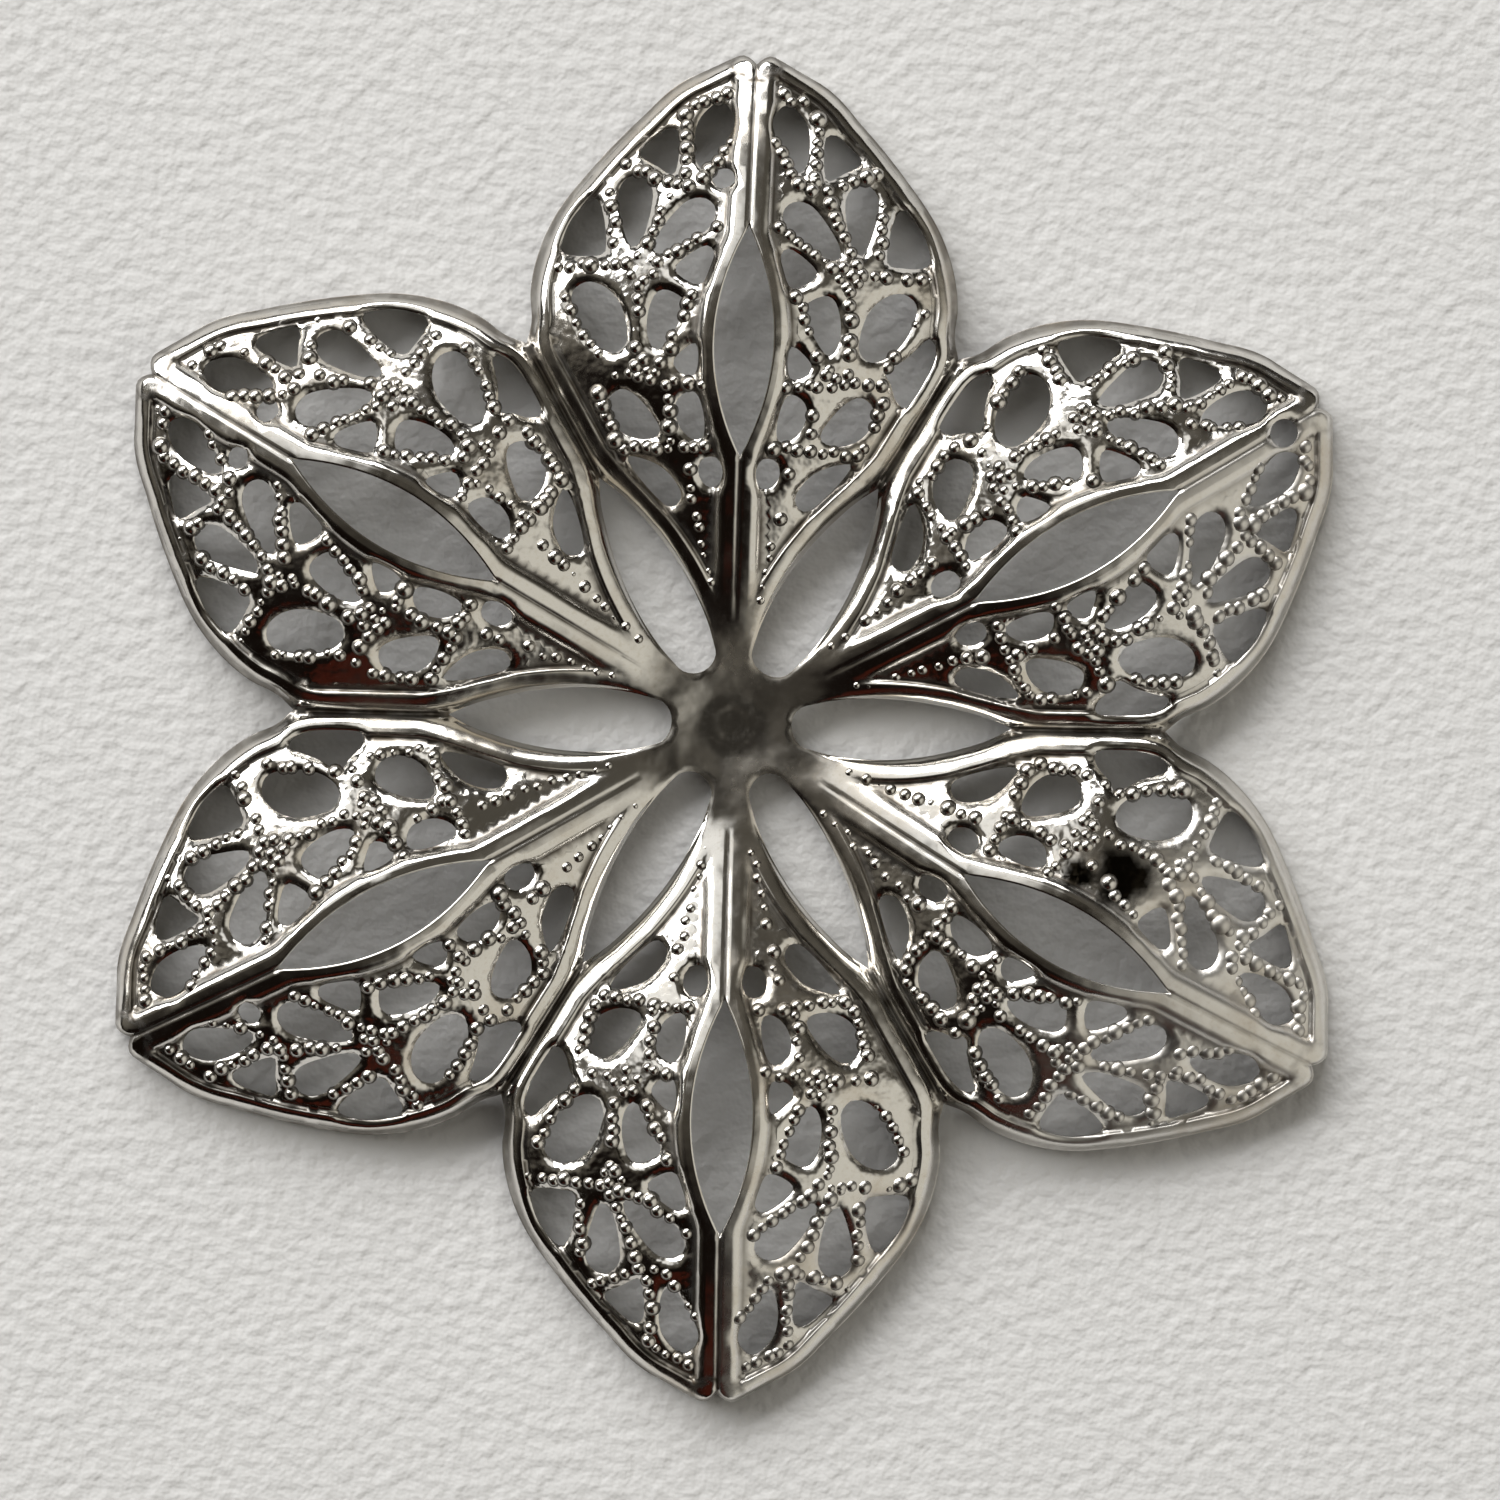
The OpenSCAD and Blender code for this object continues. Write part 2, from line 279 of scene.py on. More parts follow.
# How steeply the hub rises towards the petals, from this far out, and how gently that sets in.
HUB_RISE = 0.13
HUB_FLAT = 1.2
HUB_ROUND = 0.5
# How deep and how wide the hub is rounded off at the slots.
SLOT_LIP_DEPTH = 0.05
SLOT_LIP_WIDTH = 0.2
# Between which distances from the middle the hub gives way to the petals, their raised necks end, and the
# ridges, the flange and the marks of wear set in.
HUB_END = (1.5, 5.6)
NECK_END = (4.4, 6.2)
RIDGE_START = (3, 8.5)
FLANGE_START = (3.2, 6)
MARKS_START = (5, 8)
# How wide the necks are rounded off along the slots, and the sheet is turned down along the free margin.
NECK_ROUND = 0.6
TURNED_WIDTH = 0.9
DIMPLE_RADIUS = 0.95
DIMPLE_DEPTH = 0.022
# How far the grime and painted shade reach from the groove on the midline and from the feet of the ridges.
GROOVE_GRIME_AND_SHADE = 0.125
FOOT_GRIME_AND_SHADE = 0.16
# What share of the distance from the seam counts, so that the grime and painted shade reach further there.
SEAM_NEARNESS = 0.6
# How dark the flange is painted, as painted shade for the shaded paper that it mirrors, and between which
# shares of its width from the edge that ends.
FLANGE_SHADE = 0.8
FLANGE_SHADE_END = (0.7, 1.1)
# How far inside the ridges' feet the uneven field sets in.
FIELD_START = (-0.05, 0.15)
# How dark the underside's plating is painted: painted shade, so that it throws little light onto the paper
# beneath.
UNDERSIDE_SHADE = 0.95
# What is marked on every point of a mesh for the materials.
MARKS = ("grime_and_shade", "field", "rubbed", "stained")
# How far from an edge the sheet's shape still feels it.
EDGE_REACH = 1.6
# How far the sheet's normals lean out at a rim: on the hub, how much more on the petals and where that sets
# in, and underneath.
HUB_ROLL = 0.15
PETAL_ROLL = 0.55
PETAL_ROLL_START = (4, 8)
UNDER_ROLL = 1.1


def curve_through(rows, column=1):
    """A smooth curve through a table's rows, as a function of an array of positions."""
    at = np.array([row[0] for row in rows], float)
    value = np.array([row[column] for row in rows], float)
    slope = np.gradient(value, at)

    def evaluate(x):
        x = np.clip(x, at[0], at[-1])
        i = np.clip(np.searchsorted(at, x) - 1, 0, len(at) - 2)
        width = at[i + 1] - at[i]
        t = (x - at[i]) / width
        start = (1 + 2 * t) * (1 - t) ** 2 * value[i] + t * (1 - t) ** 2 * width * slope[i]
        end = t * t * (3 - 2 * t) * value[i + 1] - t * t * (1 - t) * width * slope[i + 1]
        return start + end

    return evaluate


def ease(low, high, x):
    """0 below low, 1 above high, and smooth in between."""
    t = np.clip((x - low) / (high - low), 0, 1)
    return t * t * (3 - 2 * t)


def hump(x, half, flatness):
    """A ridge 1 high and 2 * half wide. The more flatness, the broader its top and the steeper its sides."""
    return 1 - np.minimum(1, np.abs(x / half)) ** flatness


slot_width = curve_through(SLOT_EDGE)
margin_width = curve_through(FREE_MARGIN)
midline_height = curve_through(ARCH, 1)
margin_height = curve_through(ARCH, 2)
lower_edge = curve_through(LOWER_EDGE)
edge_crest = curve_through(EDGE_TURN, 1)
turn_width = curve_through(EDGE_TURN, 2)
turn_depth = curve_through(EDGE_TURN, 3)
edge_half = curve_through(EDGE_TURN, 4)


def half_width(y):
    """Half the petal's width at a distance from the hub."""
    joined = np.where(y < SEAM_END, y * TAN_HALF, margin_width(y))
    return np.where(y < SEAM_START, slot_width(y), joined)


def arch_width(y):
    """Half the width over which the skin is arched: the petal's own, with its corners smoothed away."""
    steps = np.linspace(-ARCH_SPREAD, ARCH_SPREAD, 9)
    shares = np.cos(steps / ARCH_SPREAD * np.pi / 2) + 0.1
    widths = sum(share * half_width(np.maximum(3, y + step)) for share, step in zip(shares, steps))
    return np.maximum(widths / shares.sum(), LEAST_WIDTH)


def eye(y):
    """Half the width of the pointed opening."""
    t = (2 * y - EYE_FOOT - EYE_TIP) / (EYE_TIP - EYE_FOOT)
    return EYE_HALF * np.maximum(0, 1 - t * t)


def inner_crest(y):
    """Where the ridge beside the midline and the opening has its crest."""
    beside_eye = eye(y) + EYE_TO_CREST
    return (beside_eye + MIDLINE_CREST + np.sqrt((beside_eye - MIDLINE_CREST) ** 2 + CREST_BLEND)) / 2


def crest_beside_midline(y):
    """The same, kept inside the narrow neck near the hub."""
    return np.minimum(inner_crest(y), CREST_IN_NECK * np.maximum(half_width(y), LEAST_WIDTH))


def midline(k):
    return 90 + PITCH * k + PETAL_SHAPE[k][0]


def seam_mean(k, column):
    return (PETAL_SHAPE[k][column] + PETAL_SHAPE[(k + PETALS - 1) % PETALS][column]) / 2


def seam(k):
    """The direction of the seam on a petal's clockwise side."""
    return 90 + PITCH * k - HALF_PITCH + seam_mean(k, 0)


def half_angle(k, side):
    if side > 0:
        return midline(k) - seam(k)
    return seam((k + 1) % PETALS) + (360 if k + 1 == PETALS else 0) - midline(k)


def place(k, side, p):
    """Points of half a petal, laid into the flower's own plane."""
    r = np.hypot(p[:, 0], p[:, 1])
    share = np.degrees(np.arctan2(p[:, 0], p[:, 1])) / HALF_PITCH
    reach_on_seam = seam_mean(k if side > 0 else (k + 1) % PETALS, 1)
    reach = PETAL_SHAPE[k][1] + (reach_on_seam - PETAL_SHAPE[k][1]) * share
    bow = PETAL_SHAPE[k][2] * np.sin(np.pi * np.minimum(1, r / CHARTED_REACH))
    swing = np.degrees(bow / np.maximum(BOW_START, r))
    turn = np.radians(midline(k) - side * share * half_angle(k, side) - swing * (1 - share * share))
    return np.stack([reach * r * np.cos(turn), reach * r * np.sin(turn)], 1)


def evenly(points, step):
    """Points at even steps along a line through these points, both ends kept."""
    points = np.asarray(points, float)
    run = np.concatenate([[0], np.cumsum(np.hypot(*np.diff(points, axis=0).T))])
    at = np.linspace(0, run[-1], max(1, round(run[-1] / step)) + 1)
    return np.stack([np.interp(at, run, points[:, axis]) for axis in (0, 1)], 1)


def flowing(points, closed=False, pieces=8):
    """A smooth line through these points."""
    points = [Vector(p) for p in points]
    count = len(points)
    line = []
    for i in range(count if closed else count - 1):
        if closed:
            before, a, b, after = (points[(i + j - 1) % count] for j in range(4))
        else:
            before, a, b, after = (points[min(max(i + j - 1, 0), count - 1)] for j in range(4))
        for t in (j / pieces for j in range(pieces)):
            line.append(a + (b - before) * t / 2 + (before * 2 - a * 5 + b * 4 - after) * t * t / 2
                        + (a * 3 - b * 3 + after - before) * t ** 3 / 2)
    line.append(points[0] if closed else points[-1])
    return np.array([tuple(p) for p in line])


def slot_end():
    """The round inner end of a slot, from its side to the seam."""
    on_seam = math.radians(HALF_PITCH)
    centre = np.array([math.sin(on_seam), math.cos(on_seam)]) * SLOT_END_REACH
    turn = np.radians(np.linspace(180, 240, 9))
    return centre + SLOT_END_RADIUS * np.stack([np.cos(turn), np.sin(turn)], 1)


def ring_hole(side):
    """The ring hole as half a petal sees it: its middle, and the turn at which it meets the midline."""
    return np.array([side * RING_ACROSS, RING_REACH]), math.acos(-side * RING_ACROSS / RING_RADIUS)


def upper_midline(k, side):
    """The midline from the opening to the tip, round the ring hole where there is one."""
    foot, tip = (0, EYE_TIP), TIP_CORNER[0]
    if k != RING_PETAL:
        return [("midline", evenly([foot, tip], RIM_STEP))]
    centre, reach = ring_hole(side)
    turn = np.linspace(-reach, reach, 15)
    rim = centre + RING_RADIUS * np.stack([np.cos(turn), np.sin(turn)], 1)
    rim[[0, -1], 0] = 0
    return [
        ("midline", evenly([foot, rim[0]], RIM_STEP)),
        ("ring", rim),
        ("midline", evenly([rim[-1], tip], RIM_STEP)),
    ]


def outline(k, side):
    """The edges of half a petal, in order round it. Each is (kind, points)."""
    eye_y = np.linspace(EYE_FOOT, EYE_TIP, 40)
    slot_y = np.linspace(SEAM_START, SLOT_JOIN, 40)
    margin_y = np.linspace(TIP_JOIN, SEAM_END, 60)
    tip_line = np.concatenate([flowing(TIP_CORNER), np.stack([margin_width(margin_y), margin_y], 1)])
    slot_line = np.concatenate([np.stack([slot_width(slot_y), slot_y], 1), slot_end()])
    on_seam = slot_line[-1]
    return [
        ("midline", evenly([(0, 0), (0, EYE_FOOT)], RIM_STEP)),
        ("eye", evenly(np.stack([eye(eye_y), eye_y], 1), RIM_STEP)),
        *upper_midline(k, side),
        ("margin", evenly(tip_line, RIM_STEP)),
        ("seam", evenly([(SEAM_END * TAN_HALF, SEAM_END), (SEAM_START * TAN_HALF, SEAM_START)], RIM_STEP)),
        ("slot", evenly(slot_line, RIM_STEP)),
        ("hub_seam", evenly([on_seam, (0, 0)], RIM_STEP)),
    ]


def hole_rims(k, side):
    """The rims of the holes that are pierced in one half of one petal."""
    return [
        evenly(flowing(points, closed=True), RIM_STEP)[:-1]
        for name, points in HOLES.items()
        if (k, side) not in UNPIERCED.get(name, [])
    ]


def chain(points, closed=False):
    """A line of points as rows of segments: start x, start y, end x, end y."""
    points = np.asarray(points)
    after = np.roll(points, -1, axis=0)
    rows = np.concatenate([points, after], 1)
    return rows if closed else rows[:-1]


def distance_to(segments, p):
    """The distance from each point to the nearest of the segments, where that is under EDGE_REACH."""
    nearest = np.full(len(p), EDGE_REACH)
    for few in np.array_split(segments, max(1, len(segments) // 10)):
        corners = few.reshape(-1, 2)
        near = ((p > corners.min(0) - EDGE_REACH) & (p < corners.max(0) + EDGE_REACH)).all(1).nonzero()[0]
        start = few[:, :2]
        run = few[:, 2:] - start
        to = p[near, None, :] - start[None]
        share = np.clip((to * run).sum(-1) / (run * run).sum(-1), 0, 1)
        reach = np.sqrt(((to - share[..., None] * run) ** 2).sum(-1)).min(1)
        nearest[near] = np.minimum(nearest[near], reach)
    return nearest


def inside(ring, p):
    """Which of the points lie inside a closed ring."""
    a = ring
    b = np.roll(ring, -1, axis=0)
    x, y = p[:, :1], p[:, 1:]
    crosses = (a[:, 1] > y) != (b[:, 1] > y)
    height = np.where(b[:, 1] == a[:, 1], 1, b[:, 1] - a[:, 1])
    at = a[:, 0] + (y - a[:, 1]) * (b[:, 0] - a[:, 0]) / height
    return (crosses & (x < at)).sum(1) % 2 == 1


def set_back(points, distance, closed=False):
    """A line of points moved to its left by a distance, or by one for each point."""
    ahead = np.roll(points, -1, axis=0) - np.roll(points, 1, axis=0)
    if not closed:
        ahead[0] = points[1] - points[0]
        ahead[-1] = points[-1] - points[-2]
    left = np.stack([-ahead[:, 1], ahead[:, 0]], 1)
    unit = left / np.linalg.norm(left, axis=1)[:, None]
    return points + np.reshape(distance, (-1, 1)) * unit


def bowed(kind, points):
    """An edge of the half petal, bowed outwards if it is a straight one that it shares with another half."""
    if kind not in ("midline", "seam", "hub_seam"):
        return points
    return set_back(points, BOW * np.sin(np.linspace(0, np.pi, len(points))))


class Drawing:
    """The plane drawing of half a petal: its outline, its holes, and the sheet's height over every point."""

    stretch = 1.0

    def __init__(self, k, side):
        edges = outline(k, side)
        rims = hole_rims(k, side)
        self.edges = edges
        self.ring = np.concatenate([points[:-1] for _, points in edges])
        self.bowed_ring = np.concatenate([bowed(kind, points)[:-1] for kind, points in edges])
        self.rims = rims
        self.margin, self.seam, self.slot = (
            np.concatenate([chain(points) for kind, points in edges if kind == wanted])
            for wanted in ("margin", "seam", "slot")
        )
        self.each_hole = [chain(rim, closed=True) for rim in rims]
        if k == RING_PETAL:
            turn = np.linspace(0, 2 * np.pi, 48, endpoint=False)
            whole = ring_hole(side)[0] + RING_RADIUS * np.stack([np.cos(turn), np.sin(turn)], 1)
            self.each_hole.append(chain(whole, closed=True))
        self.holes = np.concatenate(self.each_hole)

    def is_metal(self, p):
        metal = inside(self.ring, p)
        for rim in self.rims:
            metal &= ~inside(rim, p)
        return metal

    def to_edges(self, p):
        """Distances to the free margin, the seam, the slot and, blended across the webs, the holes."""
        pull = sum(np.exp(-WEB_BLEND * distance_to(hole, p)) for hole in self.each_hole)
        to_holes = -np.log(pull) / WEB_BLEND
        return [distance_to(s, p) for s in (self.margin, self.seam, self.slot)] + [to_holes]

    @staticmethod
    def to_ridge(y, margin, seam_gap, slot):
        """How far inside the crest of the ridge round the petal a point lies."""
        pull = sum(np.exp(-EDGE_BLEND * distance) for distance in (margin, seam_gap, slot))
        return -np.log(pull) / EDGE_BLEND - edge_crest(y)

    def top(self, p):
        """The height of the sheet's upper face, before the flower is stretched to its full height."""
        x, y = p[:, 0], p[:, 1]
        r = np.hypot(x, y)
        margin, seam_gap, slot, hole = self.to_edges(p)
        arched = 1 - np.minimum(1, (x / arch_width(y)) ** 2)
        skin = margin_height(y) + (midline_height(y) - margin_height(y)) * arched
        from_inner = x - crest_beside_midline(y)
        from_outer = self.to_ridge(y, margin, seam_gap, slot)
        nearer = np.minimum(from_inner, from_outer)
        apart = np.abs(from_inner - from_outer)
        across = nearer - np.log(1 + np.exp(-RIDGE_TURN * apart)) / RIDGE_TURN
        inner_share = 1 / (1 + np.exp(RIDGE_TURN * np.clip(from_inner - from_outer, -4, 4)))
        ridge_half = edge_half(y) + (RIDGE_HALF - edge_half(y)) * inner_share
        neck = (1 - ease(*NECK_END, r)) * ease(0, NECK_ROUND, slot)
        inner_side = np.where(across < 0, GROOVE_SIDE, INNER_FLATNESS - EDGE_FLATNESS)
        flatness = EDGE_FLATNESS + inner_side * inner_share
        ridge = np.maximum(hump(across, ridge_half, flatness), neck)
        fade = ease(*RIDGE_START, r)
        flange = turn_depth(y) * np.maximum(0, 1 - np.minimum(margin, slot) / turn_width(y)) ** 2
        crown = WEB_CROWN * np.maximum(0, 1 - hole / WEB_HALF) ** 2
        height = skin + RIDGE_HEIGHT * fade * ridge - flange * ease(*FLANGE_START, r) - crown
        on_hub = 1 - ease(*HUB_END, r)
        dimple = DIMPLE_DEPTH * (1 - ease(0.5 * DIMPLE_RADIUS, DIMPLE_RADIUS, r))
        slot_lip = SLOT_LIP_DEPTH * np.maximum(0, 1 - slot / SLOT_LIP_WIDTH) ** 2
        dish = HUB_RISE * (np.hypot(np.maximum(0, r - HUB_FLAT), HUB_ROUND) - HUB_ROUND)
        hub = HUB_TOP + dish - dimple - slot_lip
        return hub * on_hub + height * self.stretch * (1 - on_hub)

    def recess(self, p):
        """Where grime and painted shade darken the sheet: at the feet of the ridges and in the groove between
        them, and on the flange, where it is painted shade only.
        """
        x, y = p[:, 0], p[:, 1]
        margin, seam_gap, slot, _ = self.to_edges(p)
        from_outer = self.to_ridge(y, margin, seam_gap, slot)
        from_inner = x - crest_beside_midline(y)
        foot = np.minimum(np.abs(from_inner - RIDGE_HALF), np.abs(from_outer - edge_half(y)))
        groove = np.minimum(x + GROOVE_GRIME_AND_SHADE * (eye(y) > 0), SEAM_NEARNESS * seam_gap)
        at_foot = 1 - ease(0.3 * FOOT_GRIME_AND_SHADE, FOOT_GRIME_AND_SHADE, foot)
        in_groove = 1 - ease(0.4 * GROOVE_GRIME_AND_SHADE, GROOVE_GRIME_AND_SHADE, groove)
        # The flange is painted darker: painted shade for the shaded paper it mirrors.
        on_flange = FLANGE_SHADE * (1 - ease(*FLANGE_SHADE_END, margin / turn_width(y)))
        return np.maximum(np.maximum(at_foot, in_groove), on_flange) * ease(*MARKS_START, y)

    def field(self, p):
        """1 on the webs inside the ridges, 0 on the ridges themselves and on the hub."""
        x, y = p[:, 0], p[:, 1]
        margin, seam_gap, slot, _ = self.to_edges(p)
        inner = x - crest_beside_midline(y) - RIDGE_HALF
        outer = self.to_ridge(y, margin, seam_gap, slot) - edge_half(y)
        return ease(*FIELD_START, np.minimum(inner, outer)) * ease(*MARKS_START, y)

    def under(self, p, top):
        """The height of the lower face, which is turned down at the free margin."""
        margin = distance_to(self.margin, p)
        turned = 1 - ease(0, TURNED_WIDTH, margin)
        return np.maximum(0, (top - SHEET) * (1 - turned) + lower_edge(p[:, 1]) * turned)


# Where the mesh has lines of points along each ridge, as shares of its half width on both sides of the crest.
RIDGE_LINES = (-1, -0.79, -0.54, 0, 0.54, 0.79, 1)
# Between which distances from the hub it has them along the ridge beside the midline.
MIDLINE_LINES = (3.8, 29.6)
# Where it has them inside the petal's edges and the opening, behind the holes' rims and round the dimple.
EDGE_LINE = 0.09
INNER_EDGE_LINE = 0.6
RIM_LINES = (0.1, 0.2)
DIMPLE_LINES = (0.35, 0.5, 0.65, 0.8, 0.95, 1.2)


def beside_midline(edges):
    """Lines along the ridge beside the midline and the opening, in step with their own points."""
    y = np.concatenate([points[1:, 1] for kind, points in edges if kind in ("midline", "eye", "ring")])
    y = y[(y > MIDLINE_LINES[0]) & (y < MIDLINE_LINES[1])]
    return [np.stack([crest_beside_midline(y) + RIDGE_HALF * share, y], 1) for share in RIDGE_LINES]


def beside_edge(points):
    """Lines along the ridge inside one of the petal's edges, with their distances from it."""
    crest = edge_crest(points[:, 1])
    backs = [np.full(len(points), EDGE_LINE)]
    backs += [crest + edge_half(points[:, 1]) * share for share in RIDGE_LINES]
    backs.append(crest + INNER_EDGE_LINE)
    return [(set_back(points, -back), back) for back in backs]


def hub_rings():
    """Lines round the dimple in the hub."""
    turn = np.radians(np.linspace(0, HALF_PITCH, 5))
    return [radius * np.stack([np.sin(turn), np.cos(turn)], 1) for radius in DIMPLE_LINES]


def fill_points():
    """An even spread of points over the half petal, in rows of which every second one is shifted."""
    rows = np.arange(*FILL_ALONG, FILL_STEP * 0.87)
    spread = []
    for i, y in enumerate(rows):
        x = np.arange(FILL_ACROSS[0] + (i % 2) * FILL_STEP / 2, FILL_ACROSS[1], FILL_STEP)
        spread.append(np.stack([x, np.full(len(x), y)], 1))
    return np.concatenate(spread)


def thin_out(fixed, lines):
    """The points of the lines that keep their distance from the fixed ones and from each other."""
    cell = 0.3
    taken = {}

    def cell_of(p):
        return int(p[0] // cell), int(p[1] // cell)

    def is_free(p, gap):
        i, j = cell_of(p)
        for a in (i - 1, i, i + 1):
            for b in (j - 1, j, j + 1):
                for q in taken.get((a, b), ()):
                    if (p[0] - q[0]) ** 2 + (p[1] - q[1]) ** 2 < gap * gap:
                        return False
        return True

    for p in fixed:
        taken.setdefault(cell_of(p), []).append(p)
    kept = []
    for points, gap in lines:
        for p in points:
            if is_free(p, gap):
                taken.setdefault(cell_of(p), []).append(p)
                kept.append(p)
    return np.array(kept)


def mesh_drawing(drawing):
    """The drawing as triangles: its points, its faces and its rims as directed edges."""
    rings = [drawing.ring] + drawing.rims
    fixed = np.concatenate(rings)
    edges = []
    start = 0
    for ring in rings:
        count = len(ring)
        edges += [(start + i, start + (i + 1) % count) for i in range(count)]
        start += count
    lines = []

    def add(points, gap, from_rim):
        points = points[drawing.is_metal(points)]
        near_hole = distance_to(drawing.holes, points)
        near_edge = distance_to(chain(drawing.ring, closed=True), points)
        lines.append((points[(near_hole > from_rim) & (near_edge > 0.5 * from_rim)], gap))

    for back in RIM_LINES:
        for rim in drawing.rims:
            shift = set_back(rim, back, closed=True)
            if inside(rim, shift[:1])[0]:
                shift = set_back(rim, -back, closed=True)
            add(shift, CLEARANCE, 0.85 * back)
    for kind, points in drawing.edges:
        if kind in ("margin", "seam", "slot"):
            for moved, back in beside_edge(points):
                far = distance_to(chain(points), moved) > back - 0.03
                add(moved[far], CLEARANCE, CLEARANCE)
        if kind == "eye":
            add(set_back(points, -EDGE_LINE), CLEARANCE, CLEARANCE)
    for line in beside_midline(drawing.edges) + hub_rings():
        add(line, CLEARANCE, CLEARANCE)
    add(fill_points(), 0.62 * FILL_STEP, CLEARANCE)
    inner = thin_out(fixed, lines)
    points = np.concatenate([fixed, inner])
    spread = np.concatenate([drawing.bowed_ring, fixed[len(drawing.ring):], inner])
    _, _, faces, came_from, *_ = delaunay_2d_cdt([Vector(p) for p in spread], edges, [], 0, 1e-7)
    faces = np.array([[came_from[i][0] for i in f] for f in faces])
    middles = spread[faces].mean(1)
    metal = inside(drawing.bowed_ring, middles)
    for rim in drawing.rims:
        metal &= ~inside(rim, middles)
    faces = faces[metal]
    directed = {(f[i], f[(i + 1) % 3]) for f in faces.tolist() for i in range(3)}
    on_midline = points[:, 0] < 1e-6
    on_seam = np.abs(points[:, 0] - points[:, 1] * TAN_HALF) < 1e-6
    rims = [
        (i, j)
        for i, j in sorted(directed)
        if (j, i) not in directed
        and not (on_midline[i] and on_midline[j])
        and not (on_seam[i] and on_seam[j])
    ]
    return {"points": points, "faces": faces, "rims": np.array(rims)}


# The two small steps, across and along the petal, over which the sheet's slope is measured.
NORMAL_STEPS = np.array([(0.025, 0), (0, 0.025)])


def measure(drawing, meshed):
    """Adds the heights of the sheet's faces and its rise over each small step."""
    points = meshed["points"]
    meshed["top"] = drawing.top(points)
    meshed["under"] = drawing.under(points, meshed["top"])
    meshed["grime_and_shade"] = drawing.recess(points)
    meshed["field"] = drawing.field(points)
    meshed["rises"] = [drawing.top(points + step) - drawing.top(points - step) for step in NORMAL_STEPS]


def stain(k, side, p):
    """How dark each point of a half petal is stained."""
    dark = np.zeros(len(p))
    for petal, half, x, y, radius in STAINS:
        if (petal, half) == (k, side):
            turn = np.arctan2(p[:, 1] - y, p[:, 0] - x)
            ragged = 1 + 0.14 * np.sin(3 * turn + radius) + 0.08 * np.sin(7 * turn)
            away = np.hypot(p[:, 0] - x, p[:, 1] - y) * ragged
            dark = np.maximum(dark, 1 - ease(STAIN_CORE * radius, radius, away))
    return dark


def lay_half(k, side, meshed, hub):
    """One half petal of the sheet, laid into the flower, in mm: its points, normals, faces and marks."""
    points, faces, rims = meshed["points"], meshed["faces"], meshed["rims"]
    upper = np.column_stack([place(k, side, points) + hub, meshed["top"]])
    across, along = (
        np.column_stack([place(k, side, points + step) - place(k, side, points - step), rise])
        for step, rise in zip(NORMAL_STEPS, meshed["rises"])
    )
    facing = np.cross(across, along)
    facing *= np.sign(facing[:, 2:])
    facing /= np.linalg.norm(facing, axis=1)[:, None]
    lower = upper.copy()
    lower[:, 2] = meshed["under"]
    count = len(points)
    outward = np.zeros((count, 3))
    run = (upper[rims[:, 1]] - upper[rims[:, 0]]) * side
    out = np.column_stack([run[:, 1], -run[:, 0], np.zeros(len(run))])
    np.add.at(outward, rims[:, 0], out)
    np.add.at(outward, rims[:, 1], out)
    size = np.linalg.norm(outward, axis=1)[:, None]
    outward = np.where(size > 0, outward / np.maximum(size, 1e-12), 0)
    rolled = HUB_ROLL + PETAL_ROLL * ease(*PETAL_ROLL_START, points[:, 1])[:, None]
    normals = np.concatenate([facing + rolled * outward, -facing + UNDER_ROLL * outward])
    a, b = rims[:, 0], rims[:, 1]
    walls = np.concatenate([np.stack([a, a + count, b + count], 1), np.stack([a, b + count, b], 1)])
    shell = np.concatenate([faces, faces[:, ::-1] + count, walls])
    if side < 0:
        shell = shell[:, ::-1]
    rubbed = RUBBED.get((k, side), 0) * ease(*RUBBED_FROM, points[:, 1])
    grime_and_shade = meshed["grime_and_shade"] * (1 - GRIME_AND_SHADE_RUBBED * rubbed)
    field = meshed["field"] * (1 - UNEVENNESS_RUBBED * rubbed)
    marks = np.column_stack([grime_and_shade, field, rubbed, stain(k, side, points)])
    # The underside is painted dark all over: painted shade for the paper beneath.
    underside_shade = np.tile((UNDERSIDE_SHADE, 0, 0, 0), (count, 1))
    return np.concatenate([upper, lower]), normals, shell, np.concatenate([marks, underside_shade])


def make_mesh(name, vertices, faces, marks, normals=None):
    """A smooth mesh object from points in mm. The marks say how much each point has of what MARKS names."""
    mesh = bpy.data.meshes.new(name)
    mesh.from_pydata((vertices * MM).tolist(), [], faces.tolist())
    mesh.shade_smooth()
    for label, values in zip(MARKS, marks.T):
        mesh.attributes.new(label, "FLOAT", "POINT").data.foreach_set("value", values.copy())
    if normals is not None:
        mesh.normals_split_custom_set_from_vertices(normals.tolist())
    made = bpy.data.objects.new(name, mesh)
    bpy.context.scene.collection.objects.link(made)
    return made


def make_sheet(drawings, hub):
    """The whole pierced sheet, its twelve halves joined point to point."""
    vertices, normals, faces, marks = [], [], [], []
    start = 0
    for (k, side), (_, meshed) in drawings.items():
        v, n, f, m = lay_half(k, side, meshed, hub)
        vertices.append(v)
        normals.append(n)
        faces.append(f + start)
        marks.append(m)
        start += len(v)
    vertices, normals, faces, marks = (np.concatenate(rows) for rows in (vertices, normals, faces, marks))
    _, first, same = np.unique(np.round(vertices, 5), axis=0, return_index=True, return_inverse=True)
    same = same.ravel()
    joined = np.zeros((len(first), 3))
    np.add.at(joined, same, normals)
    joined /= np.linalg.norm(joined, axis=1)[:, None]
    faces = same[faces]
    whole = (faces[:, 0] != faces[:, 1]) & (faces[:, 1] != faces[:, 2]) & (faces[:, 2] != faces[:, 0])
    return make_mesh("pierced_sheet", vertices[first], faces[whole], marks[first], joined)


